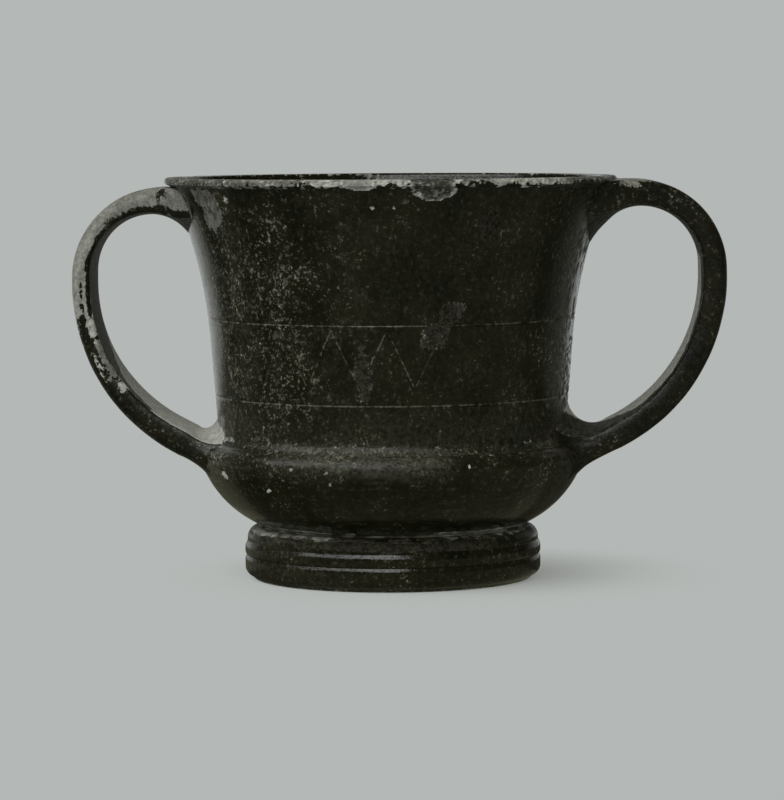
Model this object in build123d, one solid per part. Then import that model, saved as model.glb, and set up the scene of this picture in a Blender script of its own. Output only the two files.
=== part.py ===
from build123d import *
import math
import os

# A low-footed drinking cup of fired clay with two strap handles, in millimetres.
# The cup stands on z = 0 with its axis on Z; the handles lie along X.

# Body: radii and heights follow from the shoulder, the ledge and the rim.
HEIGHT = 106.5
RIM_RADIUS = 60.0
LIP_HEIGHT = 2.3
LIP_OVERHANG = 1.6
LIP_UNDERCUT = 0.7
LIP_ROUNDING = 0.9
RIM_THICKNESS = 3.4
WALL_THICKNESS = 4.0
SHOULDER_RADIUS = 51.0
SHOULDER_DROP = 5.3
LEDGE_HEIGHT = 36.2
LEDGE_INSET = 3.6
LEDGE_RADIUS = SHOULDER_RADIUS - LEDGE_INSET
SHOULDER_HEIGHT = LEDGE_HEIGHT - SHOULDER_DROP
COVE_HEIGHT = 3.8
COVE_DEPTH = 1.0
WAIST_HEIGHT = LEDGE_HEIGHT + COVE_HEIGHT
WAIST_RADIUS = LEDGE_RADIUS - COVE_DEPTH
FLARE_START_HEIGHT = 64.0
FLARE_LEAN = 1.9
FLARE_START_RADIUS = WAIST_RADIUS + FLARE_LEAN
BOWL_CURVE = 28.7
FLOOR_THICKNESS = 3.0
FLOOR_RADIUS = 18.0
SEAT_SLOPE = 20.0

# Foot: its radii follow from the widest one.
FOOT_RADIUS = 39.5
FOOT_JOINT_HEIGHT = 14.6
FOOT_JOINT_INSET = 3.7
FOOT_JOINT_RADIUS = FOOT_RADIUS - FOOT_JOINT_INSET
FOOT_UPPER_WIDEST = 8.9
FOOT_GROOVE_HEIGHT = 6.3
FOOT_GROOVE_DEPTH = 0.5
FOOT_LOWER_WIDEST = 4.0
FOOT_BEVEL_HEIGHT = 0.9
FOOT_BEVEL_INSET = 1.6
REST_INSET = 2.6
REST_WIDTH = 6.9
REST_OUTER_RADIUS = FOOT_RADIUS - REST_INSET
REST_INNER_RADIUS = REST_OUTER_RADIUS - REST_WIDTH
RECESS_TAPER = 3.5
SEAT_INNER_RADIUS = REST_INNER_RADIUS - RECESS_TAPER
UNDERSIDE_DOME = 0.8

# Slip left in the two ring joints, and the film between the body and the clay of the handle roots
SLIP = 0.6
ROOT_FILM = 0.05

# The handles were shaped by hand and differ. Each stands out from the rim and lies below its top, runs
# level before it bends, above and beneath, and comes down on a straight stem beside the ledge.
LEFT_STANDOUT = 24.1
LEFT_TOP_DROP = 2.5
LEFT_LEVEL_RUN = 0.1
LEFT_UNDER_RUN = 3.0
LEFT_SIDE_THICKNESS = 5.6
LEFT_STEM = 6.2
LEFT_STEM_DROP = 2.05
LEFT_ROOT_FILLET = 7.0
RIGHT_STANDOUT = 28.6
RIGHT_TOP_DROP = 1.0
RIGHT_LEVEL_RUN = 4.6
RIGHT_UNDER_RUN = 5.9
RIGHT_SIDE_THICKNESS = 7.2
RIGHT_STEM = 10.7
RIGHT_STEM_DROP = 0.55
RIGHT_ROOT_FILLET = 12.0

# Common to both handles
STRAP_WIDTH = 22.5
STRAP_FOOT_WIDTH = 30.0
ROOT_WIDTH = 43.0
STRAP_TOP_THICKNESS = 7.2
STRAP_FOOT_THICKNESS = 7.4
SIDE_STRAIGHT = 1.5
OUTER_EDGE_ROUNDING = 2.4
INNER_EDGE_ROUNDING = 1.0
SCARF_SETBACK = 1.5
WEB_RADIUS = 11.0
WEB_ANGLE = 45.0
WEB_DROP = 9.5
WEB_INSET = 0.6
FLARE_LENGTH = 5.0
FLARE_DROP = 5.4
FLARE_SINK = 2.5
FILLET_FALL = 6.0
ROOT_DEPTH = 7.4
CORE_RADIUS = LEDGE_RADIUS - ROOT_DEPTH


def turned(edges):
    """Solid of revolution from a closed chain of edges given as (radius, height)."""
    return revolve(Plane.XZ * make_face(edges), Axis.Z)


def bowl_curve_centre():
    """Centre of the arc that runs from the foot joint up to the shoulder of the bowl."""
    dx = SHOULDER_RADIUS - FOOT_JOINT_RADIUS
    dz = SHOULDER_HEIGHT - FOOT_JOINT_HEIGHT
    half_chord = math.hypot(dx, dz) / 2
    rise = math.sqrt(BOWL_CURVE ** 2 - half_chord ** 2)
    x = (SHOULDER_RADIUS + FOOT_JOINT_RADIUS) / 2 - rise * dz / (2 * half_chord)
    z = (SHOULDER_HEIGHT + FOOT_JOINT_HEIGHT) / 2 + rise * dx / (2 * half_chord)
    return x, z


def under_bowl(radius, gap=0.0):
    """Point at the given radius on the underside of the bowl, or on a face a gap below it."""
    x, z = bowl_curve_centre()
    return radius, z - math.sqrt((BOWL_CURVE + gap) ** 2 - (radius - x) ** 2)


def seat_point(radius, gap=0.0):
    """Point at the given radius on the sloping seat of the wall, or a gap above the seat."""
    fall = math.tan(math.radians(SEAT_SLOPE))
    return radius, LEDGE_HEIGHT + gap - (LEDGE_RADIUS - radius) * fall


def wall_outside(low):
    """Outside of the wall from a low point up to the top of the rim."""
    waist = (WAIST_RADIUS, WAIST_HEIGHT)
    flare = (FLARE_START_RADIUS, FLARE_START_HEIGHT)
    under_lip = (RIM_RADIUS - LIP_OVERHANG, HEIGHT - LIP_HEIGHT)
    lean = (flare[0] - waist[0], flare[1] - waist[1])
    lip_low = (RIM_RADIUS, HEIGHT - LIP_HEIGHT + LIP_UNDERCUT)
    lip_high = (RIM_RADIUS, HEIGHT - LIP_ROUNDING)
    top = (RIM_RADIUS - LIP_ROUNDING, HEIGHT)
    return [
        TangentArc(waist, low, tangent=(-lean[0], -lean[1])),
        Line(waist, flare),
        TangentArc(flare, under_lip, tangent=lean),
        Line(under_lip, lip_low),
        Line(lip_low, lip_high),
        TangentArc(lip_high, top, tangent=(0, 1)),
    ]


def bowl_outside(low_radius):
    """Outside of the bowl from the ledge round the shoulder and down to a low radius."""
    ledge = (LEDGE_RADIUS, LEDGE_HEIGHT)
    shoulder = (SHOULDER_RADIUS, SHOULDER_HEIGHT)
    x, z = bowl_curve_centre()
    rising = (z - SHOULDER_HEIGHT, SHOULDER_RADIUS - x)
    return [
        TangentArc(shoulder, ledge, tangent=rising),
        RadiusArc(shoulder, under_bowl(low_radius), BOWL_CURVE),
    ]


def make_wall():
    """Flaring wall with its lip, on a sloping seat."""
    rim_inside = RIM_RADIUS - LIP_OVERHANG - RIM_THICKNESS
    top_outer = (RIM_RADIUS - LIP_ROUNDING, HEIGHT)
    top_inner = (rim_inside + LIP_ROUNDING, HEIGHT)
    lip_inner = (rim_inside, HEIGHT - LIP_ROUNDING)
    flare = (FLARE_START_RADIUS - WALL_THICKNESS, FLARE_START_HEIGHT)
    seat_inner = seat_point(WAIST_RADIUS - WALL_THICKNESS, SLIP)
    seat_outer = seat_point(LEDGE_RADIUS, SLIP)
    lean = (flare[0] - seat_inner[0], flare[1] - seat_inner[1])
    edges = wall_outside(seat_outer) + [
        Line(top_outer, top_inner),
        TangentArc(lip_inner, top_inner, tangent=(0, 1)),
        TangentArc(flare, lip_inner, tangent=lean),
        Line(flare, seat_inner),
        Line(seat_inner, seat_outer),
    ]
    return turned(edges)


def make_ledge_luting():
    """Ring of slip between the seat on the bowl and the foot of the wall."""
    inner = WAIST_RADIUS - WALL_THICKNESS
    corners = [
        seat_point(inner),
        seat_point(LEDGE_RADIUS),
        seat_point(LEDGE_RADIUS, SLIP),
        seat_point(inner, SLIP),
    ]
    return turned(Polyline(corners, close=True).edges())


def make_bowl():
    """Shallow bowl with a round shoulder and a slightly domed underside."""
    seat_inner = seat_point(WAIST_RADIUS - WALL_THICKNESS)
    seat_outer = seat_point(LEDGE_RADIUS)
    seat_low = under_bowl(SEAT_INNER_RADIUS)
    dome = (0, seat_low[1] + UNDERSIDE_DOME)
    floor_centre = (0, dome[1] + FLOOR_THICKNESS)
    floor_edge = (FLOOR_RADIUS, floor_centre[1])
    edges = bowl_outside(SEAT_INNER_RADIUS) + [
        Line(seat_low, dome),
        Line(dome, floor_centre),
        Line(floor_centre, floor_edge),
        TangentArc(floor_edge, seat_inner, tangent=(1, 0)),
        Line(seat_inner, seat_outer),
    ]
    return turned(edges)


def make_foot_luting():
    """Ring of slip between the bowl and the foot ring."""
    inner_high = under_bowl(SEAT_INNER_RADIUS)
    inner_low = under_bowl(SEAT_INNER_RADIUS, SLIP)
    outer_high = under_bowl(FOOT_JOINT_RADIUS)
    outer_low = under_bowl(FOOT_JOINT_RADIUS, SLIP)
    edges = [
        RadiusArc(outer_high, inner_high, BOWL_CURVE),
        Line(inner_high, inner_low),
        RadiusArc(outer_low, inner_low, BOWL_CURVE + SLIP),
        Line(outer_low, outer_high),
    ]
    return turned(edges)


def make_foot_ring():
    """Turned foot ring with two round mouldings, a groove between them and a hollow middle."""
    seat_outer = under_bowl(FOOT_JOINT_RADIUS, SLIP)
    seat_inner = under_bowl(SEAT_INNER_RADIUS, SLIP)
    upper = (FOOT_RADIUS, FOOT_UPPER_WIDEST)
    groove = (FOOT_RADIUS - FOOT_GROOVE_DEPTH, FOOT_GROOVE_HEIGHT)
    lower = (FOOT_RADIUS, FOOT_LOWER_WIDEST)
    bevel = (FOOT_RADIUS - FOOT_BEVEL_INSET, FOOT_BEVEL_HEIGHT)
    rest_outer = (REST_OUTER_RADIUS, 0)
    rest_inner = (REST_INNER_RADIUS, 0)
    edges = [
        RadiusArc(seat_outer, seat_inner, BOWL_CURVE + SLIP),
        TangentArc(upper, seat_outer, tangent=(0, 1)),
        TangentArc(upper, groove, tangent=(0, -1)),
        TangentArc(lower, groove, tangent=(0, 1)),
        TangentArc(lower, bevel, tangent=(0, -1)),
        Line(bevel, rest_outer),
        Line(rest_outer, rest_inner),
        Line(rest_inner, seat_inner),
    ]
    return turned(edges)


def make_envelope():
    """Everything inside the outer face of the bowl and the wall, with a film for the joint."""
    ledge = [Line(seat_point(LEDGE_RADIUS), seat_point(LEDGE_RADIUS, SLIP))]
    outside = wall_outside(seat_point(LEDGE_RADIUS, SLIP)) + ledge + bowl_outside(FOOT_JOINT_RADIUS)
    outside = [Pos(ROOT_FILM, 0) * edge for edge in outside]
    rim = outside[5] @ 1
    low = outside[-1] @ 1
    inside = Polyline(rim, (0, rim.Y), (0, low.Y), low)
    return turned(outside + [inside])


def strap_faces(standout, top_drop, level_run, under_run, thickness, stem, stem_drop, root_fillet):
    """Outer and inner face of one handle in side view, as two chains of edges."""
    reach = RIM_RADIUS + standout
    top = HEIGHT - top_drop
    bend_low = top - (standout - level_run)
    side_low = bend_low - SIDE_STRAIGHT
    sweep_out = (SHOULDER_RADIUS + stem, LEDGE_HEIGHT - stem_drop)
    angle = 2 * math.atan2(reach - sweep_out[0], side_low - sweep_out[1])
    along = (-math.sin(angle), -math.cos(angle))
    sweep_radius = (side_low - sweep_out[1]) / math.sin(angle)

    def down_to(point, radius, short_of):
        """Point on the straight stem below the sweep, a distance short of a given radius."""
        run = (point[0] - radius) / math.sin(angle) - short_of
        return point[0] + along[0] * run, point[1] + along[1] * run

    # Outer face, from inside the rim round to the flare under the lower root.
    flare = down_to(sweep_out, SHOULDER_RADIUS, FLARE_LENGTH)
    flare_end = (SHOULDER_RADIUS - FLARE_SINK, flare[1] - FLARE_DROP)
    outer = [
        Line((CORE_RADIUS, top), (RIM_RADIUS + level_run, top)),
        TangentArc((RIM_RADIUS + level_run, top), (reach, bend_low), tangent=(1, 0)),
        Line((reach, bend_low), (reach, side_low)),
        TangentArc((reach, side_low), sweep_out, tangent=(0, -1)),
        Line(sweep_out, flare),
        TangentArc(flare, flare_end, tangent=along),
    ]

    # Inner face, from inside the wall round to the fillet on the wall.
    inside = reach - thickness
    under = top - STRAP_TOP_THICKNESS
    bend_start = (RIM_RADIUS + under_run, under)
    bend_end = (inside, under - (inside - bend_start[0]))
    growth = STRAP_FOOT_THICKNESS - thickness * math.cos(angle)
    inner_sweep = sweep_radius - growth / (1 - math.cos(angle))
    sweep_in = (
        inside - inner_sweep * (1 - math.cos(angle)),
        side_low - inner_sweep * math.sin(angle),
    )
    fillet_start = down_to(sweep_in, WAIST_RADIUS, root_fillet)
    fillet_end = (WAIST_RADIUS, fillet_start[1] + root_fillet * (1 - math.cos(angle)))
    inner = [
        Line((CORE_RADIUS, under), bend_start),
        TangentArc(bend_start, bend_end, tangent=(1, 0)),
        Line(bend_end, (inside, side_low)),
        TangentArc((inside, side_low), sweep_in, tangent=(0, -1)),
        Line(sweep_in, fillet_start),
        TangentArc(fillet_start, fillet_end, tangent=along),
    ]
    return outer, inner


def long_edges(strap, chain):
    """Edges along the two sides of a strap that follow one chain of its side view."""
    found = []
    for face in strap.faces():
        if abs(face.normal_at().Y) > 0.5:
            for edge in face.edges():
                spot = edge @ 0.5
                mark = Vertex(spot.X, spot.Z, 0)
                if any(part.distance_to(mark) < 0.01 for part in chain):
                    found.append(edge)
    return found


def prism(edges, width):
    """Side view outline given a width across the handle."""
    return extrude(Plane.XZ * make_face(edges), width / 2, both=True)


def strap_limits(bend, inset=0.0):
    """Block that narrows the strap at its bend and widens it towards both roots."""
    bend_x = ((bend @ 0).X + (bend @ 1).X) / 2
    reach, bend_low = (bend @ 1).X, (bend @ 1).Y
    half = STRAP_WIDTH / 2 - inset
    root_half = ROOT_WIDTH / 2 - inset
    gain = (STRAP_FOOT_WIDTH - STRAP_WIDTH) / 2
    widening = ((bend_low - LEDGE_HEIGHT) ** 2 + gain ** 2) / (2 * gain)
    foot_half = half + widening - math.sqrt(widening ** 2 - bend_low ** 2)
    wall_x = math.sqrt((RIM_RADIUS - LIP_OVERHANG) ** 2 - root_half ** 2)
    above = []
    below = []
    for side in (1, -1):
        above.append(Line((reach, side * half), (bend_x, side * half)))
        above.append(TangentArc((bend_x, side * half), (wall_x, side * root_half), tangent=(-1, 0)))
        above.append(Line((wall_x, side * root_half), (CORE_RADIUS, side * root_half)))
        below.append(TangentArc((side * half, bend_low), (side * foot_half, 0), tangent=(0, -1)))
    above.append(Line((reach, half), (reach, -half)))
    above.append(Line((CORE_RADIUS, root_half), (CORE_RADIUS, -root_half)))
    below.append(Line((half, bend_low), (-half, bend_low)))
    below.append(Line((foot_half, 0), (-foot_half, 0)))
    upper = Pos(0, 0, bend_low) * extrude(make_face(above), HEIGHT - bend_low)
    return upper + extrude(Plane.YZ * make_face(below), reach)


def arched_block(half, base, tip, back):
    """Block along X that ends in an arch, to round off the clay smoothed onto the body."""
    arch = ThreePointArc((-half, base), (0, tip), (half, base))
    rest = Polyline((half, base), (half, back), (-half, back), (-half, base))
    return extrude(Plane.YZ * make_face([arch, rest]), 2 * RIM_RADIUS)


def make_handle(*sizes):
    """One handle on the +X side: clay of its upper root, strap, clay of its lower root."""
    outer, inner = strap_faces(*sizes)
    bend = outer[1]
    top = (bend @ 0).Y
    flare_low = outer[-1] @ 1
    fillet_high = inner[-1] @ 1
    bend_start = inner[0] @ 1
    under = bend_start.Y
    closing = [
        Line((CORE_RADIUS, top), (CORE_RADIUS, under)),
        Polyline(flare_low, (CORE_RADIUS, flare_low.Y), (CORE_RADIUS, fillet_high.Y), fillet_high),
    ]
    handle = prism(outer + inner + closing, ROOT_WIDTH)
    handle &= strap_limits(bend)
    handle = fillet(long_edges(handle, outer), OUTER_EDGE_ROUNDING)
    handle = fillet(long_edges(handle, inner), INNER_EDGE_ROUNDING)
    body = make_envelope()

    # The strap is scarfed onto its upper clay, on a cone that leans out from the rim.
    lean = bend_start - Vector(RIM_RADIUS + SCARF_SETBACK, top)
    scarf_top = bend_start - 2 * lean
    collar = turned(
        Polyline(
            bend_start,
            scarf_top,
            (CORE_RADIUS, scarf_top.Y),
            (CORE_RADIUS, under),
            close=True,
        ).edges()
    )

    # The web fills the corner under the strap and is smoothed down the wall.
    web = JernArc(bend_start, (-1, 0), WEB_RADIUS, WEB_ANGLE)
    web_foot = PolarLine(web @ 1, WEB_DROP, direction=web % 1)
    web_top = bend_start - lean * (2 * INNER_EDGE_ROUNDING / STRAP_TOP_THICKNESS)
    behind = Polyline(
        web_foot @ 1,
        (CORE_RADIUS, (web_foot @ 1).Y),
        (CORE_RADIUS, web_top.Y),
        web_top,
        bend_start,
    )
    web_clay = turned([web, web_foot, behind]) & strap_limits(bend, WEB_INSET)
    web_clay &= arched_block(ROOT_WIDTH / 2, under, under - WEB_DROP, HEIGHT)
    upper = (handle & collar) + web_clay

    # Below, the strap is cut square where the fillet of its lower clay begins.
    fillet_start = inner[-1] @ 0
    across = (inner[-1] % 0).rotate(Axis.Z, 90) * (3 * STRAP_FOOT_THICKNESS)
    lower_zone = Polyline(
        fillet_start - across,
        fillet_start + across,
        (CORE_RADIUS, (fillet_start + across).Y),
        (CORE_RADIUS, (fillet_start - across).Y),
        close=True,
    )
    lower_block = prism(lower_zone.edges(), ROOT_WIDTH)
    lower = handle & lower_block
    lower &= arched_block(ROOT_WIDTH / 2, fillet_high.Y - FILLET_FALL, fillet_high.Y, 0)
    return upper - body, handle - collar - lower_block - body, lower - body


def export_handle(side, pieces):
    """Write the three pieces of one handle."""
    upper, strap, lower = pieces
    export_step(upper, f"parts/{side}_upper_luting.step")
    export_step(strap, f"parts/{side}_handle.step")
    export_step(lower, f"parts/{side}_lower_luting.step")


os.makedirs("parts", exist_ok=True)
export_step(make_wall(), "parts/wall.step")
export_step(make_ledge_luting(), "parts/ledge_luting.step")
export_step(make_bowl(), "parts/bowl.step")
export_step(make_foot_luting(), "parts/foot_luting.step")
export_step(make_foot_ring(), "parts/foot_ring.step")

right = make_handle(
    RIGHT_STANDOUT,
    RIGHT_TOP_DROP,
    RIGHT_LEVEL_RUN,
    RIGHT_UNDER_RUN,
    RIGHT_SIDE_THICKNESS,
    RIGHT_STEM,
    RIGHT_STEM_DROP,
    RIGHT_ROOT_FILLET,
)
export_handle("right", right)
left = make_handle(
    LEFT_STANDOUT,
    LEFT_TOP_DROP,
    LEFT_LEVEL_RUN,
    LEFT_UNDER_RUN,
    LEFT_SIDE_THICKNESS,
    LEFT_STEM,
    LEFT_STEM_DROP,
    LEFT_ROOT_FILLET,
)
export_handle("left", [piece.rotate(Axis.Z, 180) for piece in left])
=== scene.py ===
import math

import bmesh
import bpy
import numpy as np
from mathutils import Matrix, Vector, noise


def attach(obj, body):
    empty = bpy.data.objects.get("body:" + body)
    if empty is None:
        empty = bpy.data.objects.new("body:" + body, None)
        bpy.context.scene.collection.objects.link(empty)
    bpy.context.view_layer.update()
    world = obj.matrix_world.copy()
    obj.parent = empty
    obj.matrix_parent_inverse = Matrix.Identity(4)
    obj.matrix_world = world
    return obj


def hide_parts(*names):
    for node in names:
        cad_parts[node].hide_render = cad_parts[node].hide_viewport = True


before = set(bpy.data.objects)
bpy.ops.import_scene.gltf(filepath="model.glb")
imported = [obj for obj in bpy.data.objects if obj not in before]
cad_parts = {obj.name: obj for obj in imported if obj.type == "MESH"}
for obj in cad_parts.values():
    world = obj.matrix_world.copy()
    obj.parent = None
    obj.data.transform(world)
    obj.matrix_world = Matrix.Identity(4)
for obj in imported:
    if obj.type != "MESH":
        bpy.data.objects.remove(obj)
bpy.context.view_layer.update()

# Foot ring
# A ring of dark fired clay, hollow beneath: a round moulding with a bead under it, a groove and a lower
# moulding. It was turned on the wheel and luted under the bowl with slip.
MM = 0.001  # sizes are in millimetres and angles in degrees, apart from the lamp and the camera
FACTOR, A, B, RESULT = 0, 6, 7, 2  # sockets of a colour mix
OUT_OF_ROUND, TRUE_RADIUS, WELD, SHARP_ANGLE = 0.25, 20, 0.002, 50
GRIT, GRAIN, CLOUD, STREAK = 0.6, 1.4, 11, 0.9  # sizes of the marks in the clay
SLIP_BLACK, SLIP_BROWN, TURNING_MARK = "#0f0f06", "#1d1c10", "#323226"
DUST_AND_SHEEN, SPECK, CRUMB, LIMED_LINE = "#56554a", "#7d7d72", "#c4c4bb", "#7b7a6d"
BODY_DARK, BODY_BROWN, BODY_PALE, LIMY_RIM = "#0e0c03", "#2c2919", "#bbbcb6", "#93938a"
BARE_ROUGHNESS, DULL_ROUGHNESS, DUST_ROUGHNESS, CLAY_IOR = 0.75, 0.45, 0.45, 1.45
BUMP_STRENGTH, BUMP_DEPTH = 0.4, 0.08


def linear(code):
    """Linear colour of an sRGB hex value."""
    parts = [int(code[i:i + 2], 16) / 255 for i in (1, 3, 5)]
    return [c / 12.92 if c <= 0.04045 else ((c + 0.055) / 1.055) ** 2.4 for c in parts] + [1.0]


def add(tree, kind, inputs=None, **settings):
    """Add one node with its settings, and set or link each of its inputs."""
    node = tree.nodes.new(kind)
    for name, value in settings.items():
        setattr(node, name, value)
    for key, value in (inputs or {}).items():
        if isinstance(value, bpy.types.Node):
            value = value.outputs[0]
        if isinstance(value, bpy.types.NodeSocket):
            tree.links.new(value, node.inputs[key])
        else:
            node.inputs[key].default_value = value
    return node


def calc(tree, operation, *values, **settings):
    """Add a math node that works on the given values."""
    return add(tree, "ShaderNodeMath", dict(enumerate(values)), operation=operation, **settings)


def times(tree, value, *others):
    """Product of several values."""
    for other in others:
        value = calc(tree, "MULTIPLY", value, other)
    return value


def spread(tree, value, low, high, to_low=0.0, to_high=1.0, **settings):
    """Stretch the range from low to high to another range, and hold what lies beyond."""
    inputs = {"Value": value, "From Min": low, "From Max": high, "To Min": to_low, "To Max": to_high}
    return add(tree, "ShaderNodeMapRange", inputs, **settings)


def tinted(tree, share, first, second):
    """Colour between two colours, each a hex value or the output of a node."""
    first, second = (linear(c) if isinstance(c, str) else c for c in (first, second))
    mix = add(tree, "ShaderNodeMix", {FACTOR: share, A: first, B: second}, data_type="RGBA")
    return mix.outputs[RESULT]


def mottle(tree, place, size, detail, roughness=0.5):
    """Noise with spots of the given size in millimetres."""
    inputs = {"Vector": place, "Scale": 1 / (size * MM), "Detail": detail, "Roughness": roughness}
    return add(tree, "ShaderNodeTexNoise", inputs)


def painted(tree, field):
    """What paint stored at each point under the given name."""
    return add(tree, "ShaderNodeAttribute", attribute_name=field).outputs["Fac"]


def bare_tree(owner):
    """The emptied node tree of a material or of the world."""
    owner.use_nodes = True
    owner.node_tree.nodes.clear()
    return owner.node_tree


def run(start, end, steps):
    """Points of a straight line of a profile, with its end and without its start."""
    return [tuple(np.add(start, np.subtract(end, start) * k / steps)) for k in range(1, steps + 1)]


def bend(start, heading, end, steps):
    """Points of the arc that leaves start along heading and ends at end, without its start."""
    heading = np.array(heading) / np.hypot(*heading)
    across = np.array([-heading[1], heading[0]])
    chord = np.subtract(end, start)
    radius = chord @ chord / (2 * (chord @ across))
    centre = start + across * radius
    turn = 2 * math.atan2(chord @ across, chord @ heading)
    points = []
    for k in range(1, steps + 1):
        c, s = math.cos(turn * k / steps), math.sin(turn * k / steps)
        arm = np.subtract(start, centre)
        points.append((centre[0] + c * arm[0] - s * arm[1], centre[1] + s * arm[0] + c * arm[1]))
    return points


def node_group(name, sockets, result):
    """A geometry node tree with named inputs and one output, and its inputs as sockets to link."""
    tree = bpy.data.node_groups.new(name, "GeometryNodeTree")
    for label, kind in sockets.items():
        tree.interface.new_socket(label, in_out="INPUT", socket_type="NodeSocket" + kind)
    tree.interface.new_socket(result, in_out="OUTPUT", socket_type="NodeSocketGeometry")
    return tree, tree.nodes.new("NodeGroupInput").outputs


def close_group(tree, shape, finish, result):
    """End a tree with a real mesh in its material."""
    real = add(tree, "GeometryNodeRealizeInstances", {"Geometry": shape})
    finished = add(tree, "GeometryNodeSetMaterial", {"Geometry": real, "Material": finish})
    add(tree, "NodeGroupOutput", {result: finished})
    return tree


def wheel_tree():
    """Geometry nodes that turn a profile, drawn as points (radius, 0, height), into a thrown piece."""
    sockets = {
        "Profile": "Geometry", "Steps around": "Int", "Out of round": "Float",
        "Ridge depth": "Float", "Ridge spacing": "Float", "Finish": "Material",
    }
    tree, given = node_group("Turned on the wheel", sockets, "Piece")
    rows = add(tree, "GeometryNodeAttributeDomainSize", {"Geometry": given["Profile"]})
    columns = calc(tree, "ADD", given["Steps around"], 1.0)
    grid = add(tree, "GeometryNodeMeshGrid", {"Vertices X": rows, "Vertices Y": columns})
    index = add(tree, "GeometryNodeInputIndex")
    row = calc(tree, "FLOOR", calc(tree, "DIVIDE", index, columns))
    column = calc(tree, "MODULO", index, columns)
    angle = times(tree, calc(tree, "DIVIDE", column, given["Steps around"]), 2 * math.pi)
    drawn = add(
        tree, "GeometryNodeSampleIndex",
        {"Geometry": given["Profile"], "Value": add(tree, "GeometryNodeInputPosition"), "Index": row},
        data_type="FLOAT_VECTOR",
    )
    point = add(tree, "ShaderNodeSeparateXYZ", {0: drawn}).outputs
    cosine, sine = calc(tree, "COSINE", angle), calc(tree, "SINE", angle)

    # A thrown wall is never quite round, and the fingers leave shallow rings; both only take clay away.
    around = add(tree, "ShaderNodeCombineXYZ", {0: cosine, 1: sine, 2: point["Z"]})
    sway = add(tree, "ShaderNodeTexNoise", {"Vector": around, "Scale": 1.1, "Detail": 1.0})
    sway = times(tree, sway, given["Out of round"])
    height = calc(tree, "DIVIDE", point["Z"], given["Ridge spacing"])
    ridge = add(tree, "ShaderNodeTexNoise", {"W": height, "Scale": 1.0}, noise_dimensions="1D")
    ridge = times(tree, ridge, given["Ridge depth"])
    fade = spread(tree, point["X"], 0.0, TRUE_RADIUS * MM)
    loss = times(tree, calc(tree, "ADD", sway, ridge), fade)
    radius = calc(tree, "SUBTRACT", point["X"], loss)
    x, y = times(tree, radius, cosine), times(tree, radius, sine)
    place = add(tree, "ShaderNodeCombineXYZ", {0: x, 1: y, 2: point["Z"]})
    thrown = add(tree, "GeometryNodeSetPosition", {"Geometry": grid, "Position": place})
    closed = add(tree, "GeometryNodeMergeByDistance", {"Geometry": thrown, "Distance": WELD * MM})
    smooth = add(tree, "GeometryNodeSetShadeSmooth", {"Geometry": closed})
    return close_group(tree, smooth, given["Finish"], "Piece")


def give(piece, tree, **sizes):
    """Add a tree to a piece as a modifier and set its named inputs."""
    modifier = piece.modifiers.new(tree.name, "NODES")
    modifier.node_group = tree
    for socket in tree.interface.items_tree:
        value = sizes.get(socket.name.replace(" ", "_").lower())
        if value is not None:
            modifier[socket.identifier] = value


def new_piece(name, points, edges=(), faces=()):
    """An object in the scene with the given mesh, in millimetres."""
    mesh = bpy.data.meshes.new(name)
    mesh.from_pydata([tuple(MM * c for c in p) for p in points], edges, faces)
    piece = bpy.data.objects.new(name, mesh)
    bpy.context.scene.collection.objects.link(piece)
    return piece


def settle(piece):
    """Turn what the modifiers made into a plain mesh with its faces outwards."""
    graph = bpy.context.evaluated_depsgraph_get()
    made = piece.evaluated_get(graph)
    mesh = bpy.data.meshes.new_from_object(made, preserve_all_data_layers=True, depsgraph=graph)
    piece.modifiers.clear()
    piece.data = mesh
    shape = bmesh.new()
    shape.from_mesh(mesh)
    bmesh.ops.recalc_face_normals(shape, faces=shape.faces)
    shape.to_mesh(mesh)
    shape.free()
    mesh.set_sharp_from_angle(angle=math.radians(SHARP_ANGLE))
    return piece


def throw(name, profile, steps, finish, ridge_depth=0.05, ridge_spacing=2.2):
    """A turned piece from its profile of (radius, height)."""
    points = [(r, 0, z) for r, z in profile]
    piece = new_piece(name, points, [(k, k + 1) for k in range(len(points) - 1)])
    give(
        piece, wheel, steps_around=steps, out_of_round=OUT_OF_ROUND * MM,
        ridge_depth=ridge_depth * MM, ridge_spacing=ridge_spacing * MM, finish=finish,
    )
    return piece


def points_of(piece):
    """Points of a piece in millimetres."""
    flat = np.empty(3 * len(piece.data.vertices), np.float32)
    piece.data.vertices.foreach_get("co", flat)
    return flat.reshape(-1, 3).astype(float) / MM


def around_cup(places):
    """Degrees round from the front, radius and height of each place."""
    x, y, z = places.T
    return np.degrees(np.arctan2(x, -y)), np.hypot(x, y), z


def graded(values, marks):
    """Amount at each value, from marks of value and amount with straight runs between them."""
    return np.interp(values, list(marks), list(marks.values()))


def paint(piece, **fields):
    """Store how worn, pale, speckled or dusty a piece is at each point, for its material to read. Where dust
    is painted it also stands in for painted highlight and sheen.
    """
    for name, values in fields.items():
        layer = piece.data.attributes.new(name, "FLOAT", "POINT")
        amounts = np.broadcast_to(values, len(piece.data.vertices))
        layer.data.foreach_set("value", amounts.astype(np.float32))


def ragged(points, grain, seed):
    """Uneven field between about -1 and 1 with the given grain in millimetres."""
    shift = Vector((seed * 7.3, seed * 3.1, seed * 5.7))
    return np.array([noise.fractal(Vector(p / grain) + shift, 1.0, 2.0, 3) for p in points])


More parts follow.
